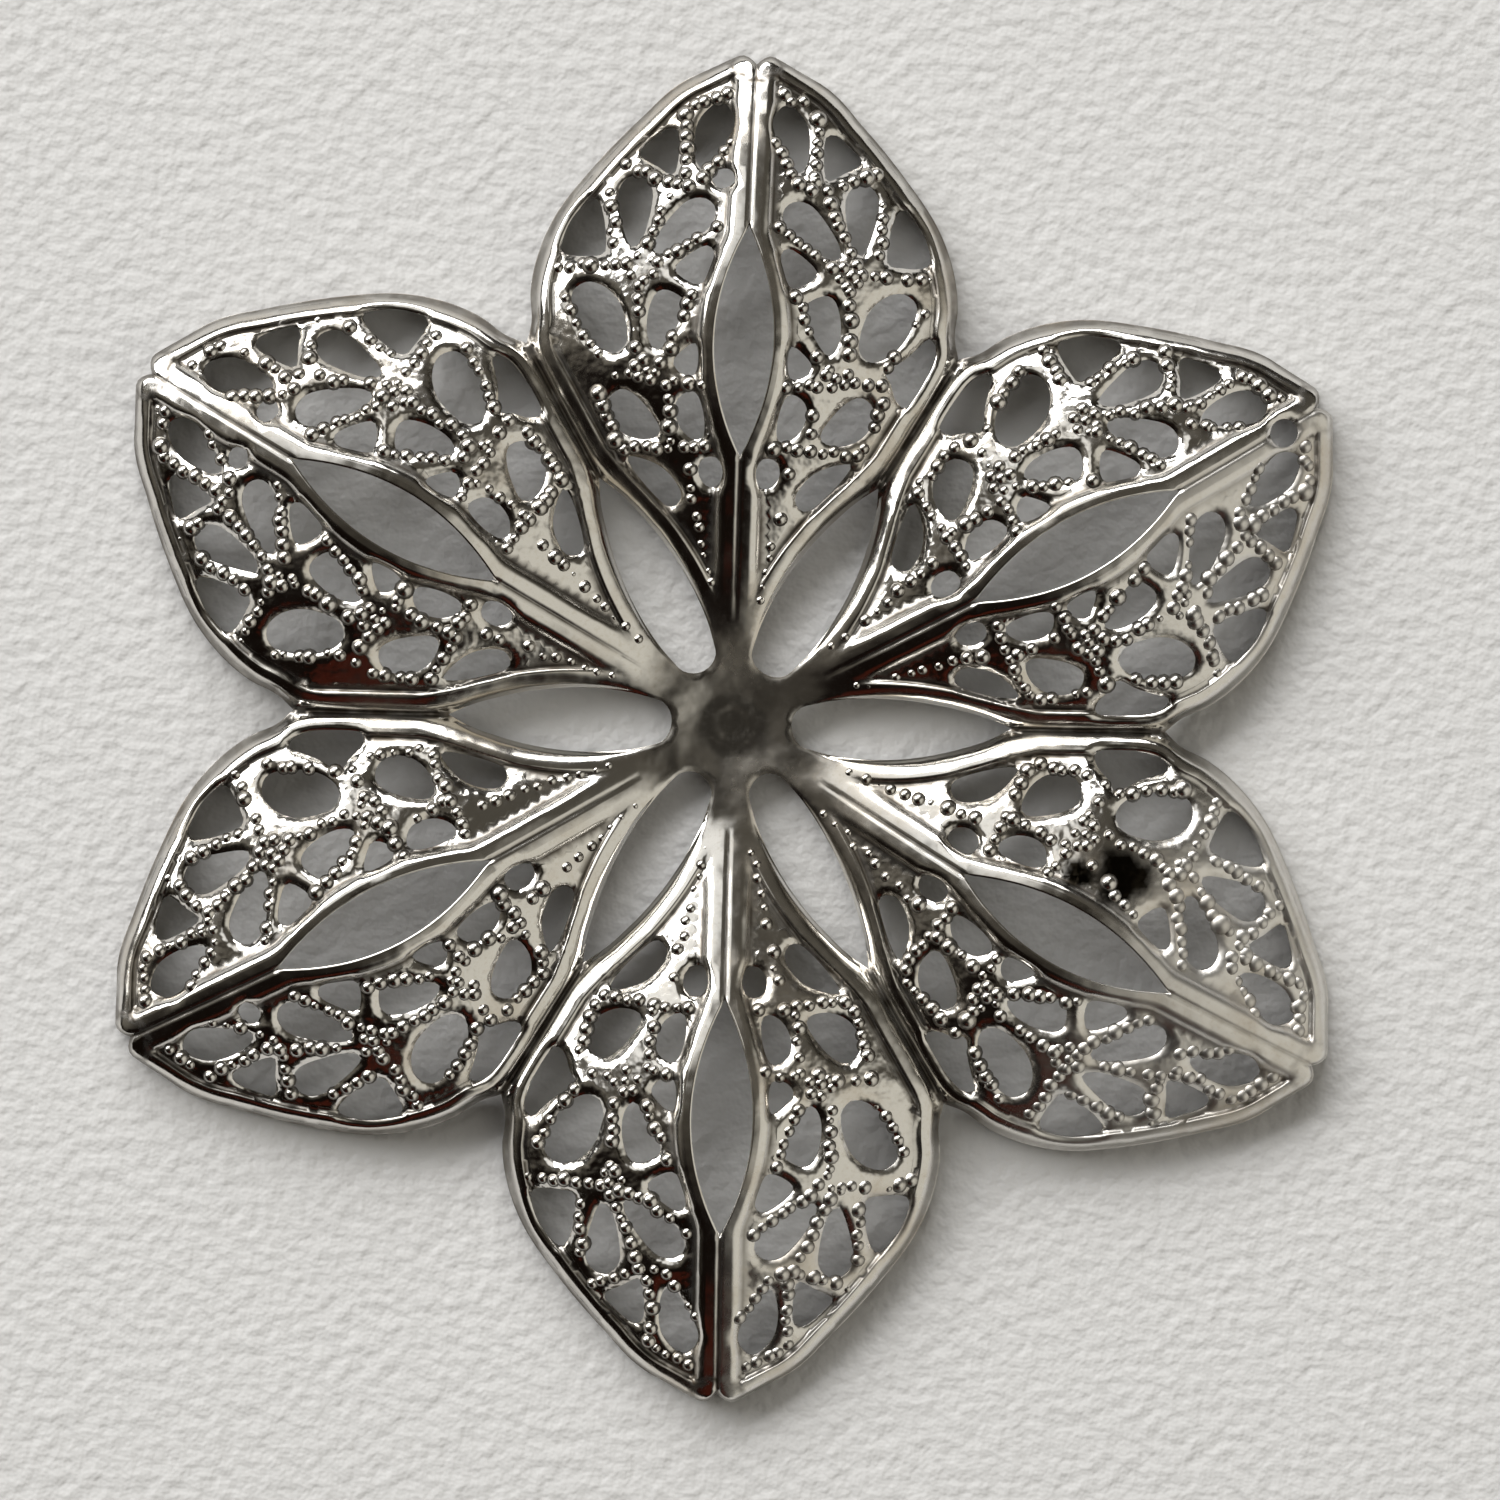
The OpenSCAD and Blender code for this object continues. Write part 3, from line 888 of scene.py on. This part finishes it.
def granule(segments=12):
    """One granule, the upper part of a ball of radius 1 with a closed foot: its points, faces and painted
    shade, darker towards its foot.
    """
    rings = np.radians([22, 44, 66, 90])
    turn = np.arange(segments) * 2 * np.pi / segments
    points = [(0, 0, 1)]
    faces = [(0, 1 + i, 1 + (i + 1) % segments) for i in range(segments)]
    for row, tilt in enumerate(rings):
        points += [(np.sin(tilt) * np.cos(t), np.sin(tilt) * np.sin(t), np.cos(tilt)) for t in turn]
        if row:
            above = 1 + (row - 1) * segments
            below = 1 + row * segments
            for i in range(segments):
                j = (i + 1) % segments
                faces += [(above + i, below + i, below + j), (above + i, below + j, above + j)]
    last = 1 + (len(rings) - 1) * segments
    faces += [(last + (i + 1) % segments, last + i, len(points)) for i in range(segments)]
    points.append((0, 0, -0.3))
    points = np.array(points, float)
    # Each granule is painted darker towards its foot: painted shade, with some tarnish.
    grime_and_shade = 1 - ease(0.45, 0.97, points[:, 2])
    return points, np.array(faces), grime_and_shade


def granule_places():
    """The granules of half a petal. Columns: x, y, radius."""
    spots = []

    def add_string(x0, y0, x1, y1, count, thinning=0):
        for share in (i / (count - 1) for i in range(count)):
            radius = GRANULE_RADIUS * (1 - thinning * share)
            spots.append((x0 + (x1 - x0) * share, y0 + (y1 - y0) * share, radius))

    def add_ring(x, y, reach, turns):
        for turn in np.radians(turns):
            spots.append((x + reach * math.cos(turn), y + reach * math.sin(turn), GRANULE_RADIUS))

    for x0, y0, x1, y1 in GRANULE_STRINGS:
        add_string(x0, y0, x1, y1, round(math.hypot(x1 - x0, y1 - y0) / GRANULE_GAP) + 1)
    add_string(*NECK_STRING, NECK_THINNING)
    for x, y in ROSETTES:
        spots.append((x, y, GRANULE_RADIUS))
        add_ring(x, y, ROSETTE_RADIUS, np.arange(0, 360, 60) + 15)
    for x, y in GRANULE_TRIOS:
        add_ring(x, y, TRIO_RADIUS, [90, 210, 330])
    return np.array(spots)


def make_granules(drawings, hub):
    """Every granule, as one piece."""
    ball, ball_faces, ball_grime_and_shade = granule()
    draw = np.random.default_rng(11)
    vertices, faces, marks = [], [], []
    start = 0
    for (k, side), (drawing, _) in drawings.items():
        spots = granule_places()
        spots = spots[draw.uniform(0, 100, len(spots)) > GRANULES_MISSING]
        spots[:, :2] += draw.normal(0, GRANULE_STRAY, (len(spots), 2))
        spots[:, 2] *= 1 + draw.normal(0, GRANULE_UNLIKE, len(spots))
        spots[:, :2] = onto_metal(drawing, spots[:, :2])
        heights = drawing.top(spots[:, :2])
        sunk = draw.uniform(*GRANULE_SUNK, len(spots))
        plan = place(k, side, spots[:, :2]) + hub
        rubbed = RUBBED.get((k, side), 0) * ease(*RUBBED_FROM, spots[:, 1])
        for (x, y), z, radius, deep, clean in zip(plan, heights, spots[:, 2], sunk, rubbed):
            worn = 1 - GRANULE_RUBBED * clean
            vertices.append((ball * radius - (0, 0, deep)) * (1, 1, worn) + (x, y, z))
            grime_and_shade = ball_grime_and_shade * (1 - GRANULE_GRIME_AND_SHADE_RUBBED * clean)
            none = np.zeros(len(ball))
            marks.append(np.column_stack([grime_and_shade, none, none + clean, none]))
            faces.append(ball_faces + start)
            start += len(ball)
    return make_mesh("granules", np.concatenate(vertices), np.concatenate(faces), np.concatenate(marks))


def onto_metal(drawing, spots):
    """The spots, each moved away from a hole that it would hang over."""
    spots = spots.copy()
    room = 0.1
    nudge = 0.01
    for _ in range(5):
        def depth(p):
            metal = np.where(drawing.is_metal(p), 1, -1)
            return metal * distance_to(drawing.holes, p)

        here = depth(spots)
        slope = np.stack([depth(spots + (nudge, 0)) - here, depth(spots + (0, nudge)) - here], 1) / nudge
        short = np.maximum(0, room - here)[:, None]
        spots += short * slope / np.maximum(0.5, np.linalg.norm(slope, axis=1))[:, None]
    return spots


def make_drawings(height):
    """A drawing and its mesh for each half petal, shared by the halves with the same holes.

    The arch is stretched so that the highest ridge reaches the given height.
    """
    known = {}
    drawings = {}
    for k in range(PETALS):
        for side in (1, -1):
            key = tuple((k, side) in gaps for gaps in UNPIERCED.values()) + (side if k == RING_PETAL else 0,)
            if key not in known:
                drawing = Drawing(k, side)
                known[key] = (drawing, mesh_drawing(drawing))
            drawings[k, side] = known[key]
    Drawing.stretch = height / max(drawing.top(meshed["points"]).max() for drawing, meshed in known.values())
    for drawing, meshed in known.values():
        measure(drawing, meshed)
    return drawings


def new_material(name, colour, metallic, roughness):
    """A material with its Principled shader: (material, node tree, shader node)."""
    made = bpy.data.materials.new(name)
    made.use_nodes = True
    shader = made.node_tree.nodes["Principled BSDF"]
    shader.inputs["Base Color"].default_value = (*colour, 1)
    shader.inputs["Metallic"].default_value = metallic
    shader.inputs["Roughness"].default_value = roughness
    return made, made.node_tree, shader


def new_group(name, inputs, outputs):
    """An empty shader node group: (tree, input node, output node). The inputs map names to default values."""
    tree = bpy.data.node_groups.new(name, "ShaderNodeTree")
    for label, value in inputs.items():
        socket = tree.interface.new_socket(label, in_out="INPUT", socket_type="NodeSocketFloat")
        socket.default_value = value
    for label in outputs:
        tree.interface.new_socket(label, in_out="OUTPUT", socket_type="NodeSocketFloat")
    return tree, tree.nodes.new("NodeGroupInput"), tree.nodes.new("NodeGroupOutput")


def add_noise(tree, coordinates, scale, detail=2.0, roughness=0.5):
    node = tree.nodes.new("ShaderNodeTexNoise")
    node.inputs["Detail"].default_value = detail
    node.inputs["Roughness"].default_value = roughness
    if isinstance(scale, (int, float)):
        node.inputs["Scale"].default_value = scale
    else:
        tree.links.new(scale, node.inputs["Scale"])
    tree.links.new(coordinates, node.inputs["Vector"])
    return node.outputs["Fac"]


def add_math(tree, operation, a, b=0.5):
    node = tree.nodes.new("ShaderNodeMath")
    node.operation = operation
    for socket, value in zip(node.inputs, (a, b)):
        if isinstance(value, (int, float)):
            socket.default_value = value
        else:
            tree.links.new(value, socket)
    return node.outputs[0]


def add_place(tree):
    """Where each point lies on the object, in metres."""
    return tree.nodes.new("ShaderNodeTexCoord").outputs["Object"]


def add_mark(tree, name):
    """How much each point has of one of the MARKS."""
    node = tree.nodes.new("ShaderNodeAttribute")
    node.attribute_name = name
    return node.outputs["Fac"]


def add_mix(tree, factor, below, above):
    """One colour above another, by a factor. The one below is a colour or a socket."""
    node = tree.nodes.new("ShaderNodeMix")
    node.data_type = "RGBA"
    if isinstance(below, tuple):
        node.inputs["A"].default_value = (*below, 1)
    else:
        tree.links.new(below, node.inputs["A"])
    node.inputs["B"].default_value = (*above, 1)
    tree.links.new(factor, node.inputs["Factor"])
    return node.outputs["Result"]


def add_bump(tree, shader, height, distance):
    """Lets a height tilt the shader's normals."""
    node = tree.nodes.new("ShaderNodeBump")
    node.inputs["Strength"].default_value = 1.0
    node.inputs["Distance"].default_value = distance
    tree.links.new(height, node.inputs["Height"])
    tree.links.new(node.outputs["Normal"], shader.inputs["Normal"])


def add_ramp(tree, value, low, high):
    """0 below low and 1 above high."""
    node = tree.nodes.new("ShaderNodeMapRange")
    node.interpolation_type = "SMOOTHSTEP"
    node.inputs["From Min"].default_value = low
    node.inputs["From Max"].default_value = high
    tree.links.new(value, node.inputs["Value"])
    return node.outputs["Result"]


def pressed_group():
    """The small unevenness that the press leaves in thin sheet: a height in metres."""
    inputs = {"Size": 700.0, "Depth": 0.00004, "Field Size": 1100.0, "Field Depth": 0.0001}
    tree, given, result = new_group("pressed_unevenness", inputs, ["Height"])
    place_at = add_place(tree)
    broad = add_noise(tree, place_at, given.outputs["Size"], 1.5)
    finer = add_noise(tree, place_at, given.outputs["Field Size"], 2.0)
    lumps = add_math(tree, "MULTIPLY", finer, given.outputs["Field Depth"])
    lumps = add_math(tree, "MULTIPLY", lumps, add_mark(tree, "field"))
    everywhere = add_math(tree, "MULTIPLY", broad, given.outputs["Depth"])
    tree.links.new(add_math(tree, "ADD", everywhere, lumps), result.inputs["Height"])
    return tree


def handling_group():
    """Where handling has dulled the plating: soft clouds broken by fine specks."""
    tree, given, result = new_group("handling_haze", {"Spread": 240.0, "Strength": 1.0}, ["Mask"])
    place_at = add_place(tree)
    clouds = add_ramp(tree, add_noise(tree, place_at, given.outputs["Spread"], 4.0, 0.6), 0.46, 0.68)
    specks = add_ramp(tree, add_noise(tree, place_at, 5200.0, 2.0), 0.5, 0.72)
    mixed = add_math(tree, "ADD", clouds, add_math(tree, "MULTIPLY", specks, 0.35))
    tree.links.new(add_math(tree, "MULTIPLY", mixed, given.outputs["Strength"]), result.inputs["Mask"])
    return tree


def grime_and_shade_group():
    """Grime and painted shade in the recesses, from the mesh's own mark for them, broken up by noise."""
    tree, given, result = new_group("recess_grime_and_shade", {"Amount": 1.0, "Breakup": 0.35}, ["Mask"])
    patches = add_ramp(tree, add_noise(tree, add_place(tree), 900.0, 2.0), 0.3, 0.6)
    thinned = add_math(tree, "MULTIPLY", add_math(tree, "SUBTRACT", 1.0, patches), given.outputs["Breakup"])
    left = add_math(tree, "MULTIPLY", add_mark(tree, "grime_and_shade"), add_math(tree, "SUBTRACT", 1.0, thinned))
    tree.links.new(add_math(tree, "MULTIPLY", left, given.outputs["Amount"]), result.inputs["Mask"])
    return tree


def add_group(tree, group, **values):
    node = tree.nodes.new("ShaderNodeGroup")
    node.node_tree = group
    for label, value in values.items():
        node.inputs[label].default_value = value
    return node


# The metal's colours: bare plating, plating dulled by handling, grime with painted shade, and stain.
BARE_PLATING = (0.78, 0.76, 0.72)
DULLED_PLATING = (0.62, 0.56, 0.47)
GRIME_AND_SHADE = (0.065, 0.05, 0.034)
STAIN = (0.016, 0.013, 0.009)
# Its roughness bare and dulled, and what is added to that by the hub's satin finish, by rubbing and by
# the grime and painted shade.
BARE_ROUGHNESS = 0.13
DULLED_ROUGHNESS = 0.3
SATIN_ROUGHNESS = 0.05
RUBBED_ROUGHNESS = 0.22
GRIME_AND_SHADE_ROUGHNESS = 0.3
# Between which distances from the hub's middle the satin finish ends, in mm.
SATIN_END = (2, 6)


def plated_material(name, groups, unevenness, haze, hub):
    """Bright nickel plating on pressed sheet, satin towards the hub."""
    made, tree, shader = new_material(name, (0.76, 0.735, 0.69), 1.0, 0.14)
    pressed = add_group(tree, groups["pressed"], Depth=unevenness)
    add_bump(tree, shader, pressed.outputs["Height"], 1.0)
    handling = add_group(tree, groups["handling"], Strength=haze)
    dulled = tree.nodes.new("ShaderNodeMapRange")
    dulled.inputs["To Min"].default_value = BARE_ROUGHNESS
    dulled.inputs["To Max"].default_value = DULLED_ROUGHNESS
    tree.links.new(handling.outputs["Mask"], dulled.inputs["Value"])
    from_hub = tree.nodes.new("ShaderNodeVectorMath")
    from_hub.operation = "DISTANCE"
    from_hub.inputs[1].default_value = (*(hub * MM), HUB_TOP * MM)
    tree.links.new(add_place(tree), from_hub.inputs[0])
    ends = (distance * MM for distance in SATIN_END)
    satin = add_math(tree, "SUBTRACT", 1.0, add_ramp(tree, from_hub.outputs["Value"], *ends))
    grime_and_shade = add_group(tree, groups["grime_and_shade"], Amount=0.95)
    roughness = dulled.outputs["Result"]
    for mask, more in (
        (satin, SATIN_ROUGHNESS),
        (add_mark(tree, "rubbed"), RUBBED_ROUGHNESS),
        (grime_and_shade.outputs["Mask"], GRIME_AND_SHADE_ROUGHNESS),
    ):
        roughness = add_math(tree, "ADD", roughness, add_math(tree, "MULTIPLY", mask, more))
    tree.links.new(roughness, shader.inputs["Roughness"])
    colour = add_mix(tree, handling.outputs["Mask"], BARE_PLATING, DULLED_PLATING)
    # Grime and painted shade: the recesses, the flange, the granules' feet and the underside are painted
    # darker.
    colour = add_mix(tree, grime_and_shade.outputs["Mask"], colour, GRIME_AND_SHADE)
    colour = add_mix(tree, add_mark(tree, "stained"), colour, STAIN)
    tree.links.new(colour, shader.inputs["Base Color"])
    return made


def paper_material():
    """Thick pale paper with a coarse tooth."""
    made, tree, shader = new_material("toothed_paper", (0.76, 0.757, 0.75), 0.0, 0.9)
    drawn_out = tree.nodes.new("ShaderNodeMapping")
    drawn_out.inputs["Scale"].default_value = (0.95, 1.0, 1.0)
    tree.links.new(add_place(tree), drawn_out.inputs["Vector"])
    tooth = add_noise(tree, drawn_out.outputs["Vector"], 1450.0, 2.0, 0.45)
    add_bump(tree, shader, tooth, 0.00016)
    return made


def make_floor():
    bpy.ops.mesh.primitive_plane_add(size=6)
    floor = bpy.context.object
    floor.name = "paper_floor"
    floor.data.materials.append(paper_material())


# Studio lights. Columns: name, azimuth and elevation that it comes from, distance, width and height in
# metres, brightness of its face, colour.
LIGHTS = [
    ("window", 122, 32, 1.8, 3.2, 0.86, 6.8, (1.0, 0.995, 0.985)),
]
# The rest of the room, each a soft patch over the dim ground and over the patches before it. Columns: azimuth
# and elevation of its middle, how far from there it is full and where it ends, in degrees, colour.
ROOM = [
    (90, 90, 38, 62, (0.07, 0.062, 0.049)),
    (195, 40, 4, 28, (0.14, 0.127, 0.104)),
    (25, 42, 12, 36, (0.075, 0.068, 0.055)),
    (330, 30, 33, 54, (0.66, 0.636, 0.57)),
    (247, 36, 27, 53, (0.005, 0.003, 0.002)),
    (262, 34, 3, 18, (0.045, 0.009, 0.005)),
    (122, 58, 8, 20, (1.0, 0.99, 0.96)),
    (90, 90, 5.5, 12, (0.008, 0.006, 0.003)),
]
DIM_ROOM = (0.015, 0.012, 0.008)
BACKDROP = (0.6, 0.6, 0.58)


def direction(azimuth, elevation):
    """The direction at these angles in degrees, azimuth counted from +X."""
    a, e = math.radians(azimuth), math.radians(elevation)
    return Vector((math.cos(e) * math.cos(a), math.cos(e) * math.sin(a), math.sin(e)))


def make_lights():
    for name, azimuth, elevation, distance, width, height, brightness, colour in LIGHTS:
        data = bpy.data.lights.new(name, "AREA")
        data.shape = "RECTANGLE"
        data.size = width
        data.size_y = height
        data.energy = brightness * math.pi * width * height
        data.color = colour
        light = bpy.data.objects.new(name, data)
        away = direction(azimuth, elevation)
        light.location = away * distance
        light.rotation_euler = away.to_track_quat("Z", "Y").to_euler()
        light.visible_camera = False
        bpy.context.scene.collection.objects.link(light)


def make_world():
    """A dim room with soft patches of light, and a pale backdrop where the camera looks past the floor."""
    world = bpy.data.worlds.new("room")
    bpy.context.scene.world = world
    world.use_nodes = True
    tree = world.node_tree
    looking = tree.nodes.new("ShaderNodeTexCoord").outputs["Generated"]
    colour = DIM_ROOM
    for azimuth, elevation, full, end, patch in ROOM:
        towards = tree.nodes.new("ShaderNodeVectorMath")
        towards.operation = "DOT_PRODUCT"
        towards.inputs[1].default_value = direction(azimuth, elevation)
        tree.links.new(looking, towards.inputs[0])
        rim, core = (math.cos(math.radians(angle)) for angle in (end, full))
        share = add_ramp(tree, towards.outputs["Value"], rim, core)
        colour = add_mix(tree, share, colour, patch)
    room = tree.nodes["Background"]
    tree.links.new(colour, room.inputs["Color"])
    backdrop = tree.nodes.new("ShaderNodeBackground")
    backdrop.inputs["Color"].default_value = (*BACKDROP, 1)
    either = tree.nodes.new("ShaderNodeMixShader")
    tree.links.new(tree.nodes.new("ShaderNodeLightPath").outputs["Is Camera Ray"], either.inputs["Fac"])
    tree.links.new(room.outputs["Background"], either.inputs[1])
    tree.links.new(backdrop.outputs["Background"], either.inputs[2])
    tree.links.new(either.outputs["Shader"], tree.nodes["World Output"].inputs["Surface"])


# The camera looks nearly straight down. The hub stands a little left of and above the picture's centre.
CAMERA_DISTANCE = 0.4
CAMERA_ELEVATION = 87.5
CAMERA_ROLL = 1.57
SENSOR_WIDTH = 36
PIXELS_PER_MM = 22.5
PICTURE_SIDE = 1500
HUB_FROM_CENTRE = (-0.8 * MM, 1.2 * MM)


def make_camera(hub):
    data = bpy.data.cameras.new("camera")
    data.sensor_width = SENSOR_WIDTH
    data.lens = SENSOR_WIDTH * CAMERA_DISTANCE / MM * PIXELS_PER_MM / PICTURE_SIDE
    data.clip_start = 0.01
    camera = bpy.data.objects.new("camera", data)
    bpy.context.scene.collection.objects.link(camera)
    e = math.radians(CAMERA_ELEVATION)
    back = Vector((0, math.cos(e), math.sin(e)))
    roll = Matrix.Rotation(math.radians(CAMERA_ROLL), 3, "Z")
    aim = roll @ Vector((-HUB_FROM_CENTRE[0], -HUB_FROM_CENTRE[1], 0)) + Vector((*hub, HUB_TOP)) * MM
    camera.location = aim + roll @ back * CAMERA_DISTANCE
    upright = Matrix((Vector((1, 0, 0)), back.cross(Vector((1, 0, 0))), back)).transposed()
    camera.rotation_euler = (roll @ upright).to_euler()
    bpy.context.scene.camera = camera


def main():
    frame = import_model()
    places = {mount["name"]: mount["pos_m"] for mount in frame["record"]["mounts"]}
    hub = np.array(places["hub_back"][:2]) / MM
    drawings = make_drawings(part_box("flower")[1].z / MM)
    groups = {"pressed": pressed_group(), "handling": handling_group(), "grime_and_shade": grime_and_shade_group()}
    sheet = make_sheet(drawings, hub)
    sheet.data.materials.append(plated_material("plated_sheet", groups, 0.00006, 0.6, hub))
    granules = make_granules(drawings, hub)
    granules.data.materials.append(plated_material("plated_granules", groups, 0.00001, 0.3, hub))
    for piece in (sheet, granules):
        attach(piece, "root")
    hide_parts("flower")
    make_floor()
    make_lights()
    make_world()
    make_camera(hub)
    bpy.context.scene.view_settings.view_transform = "Standard"


main()
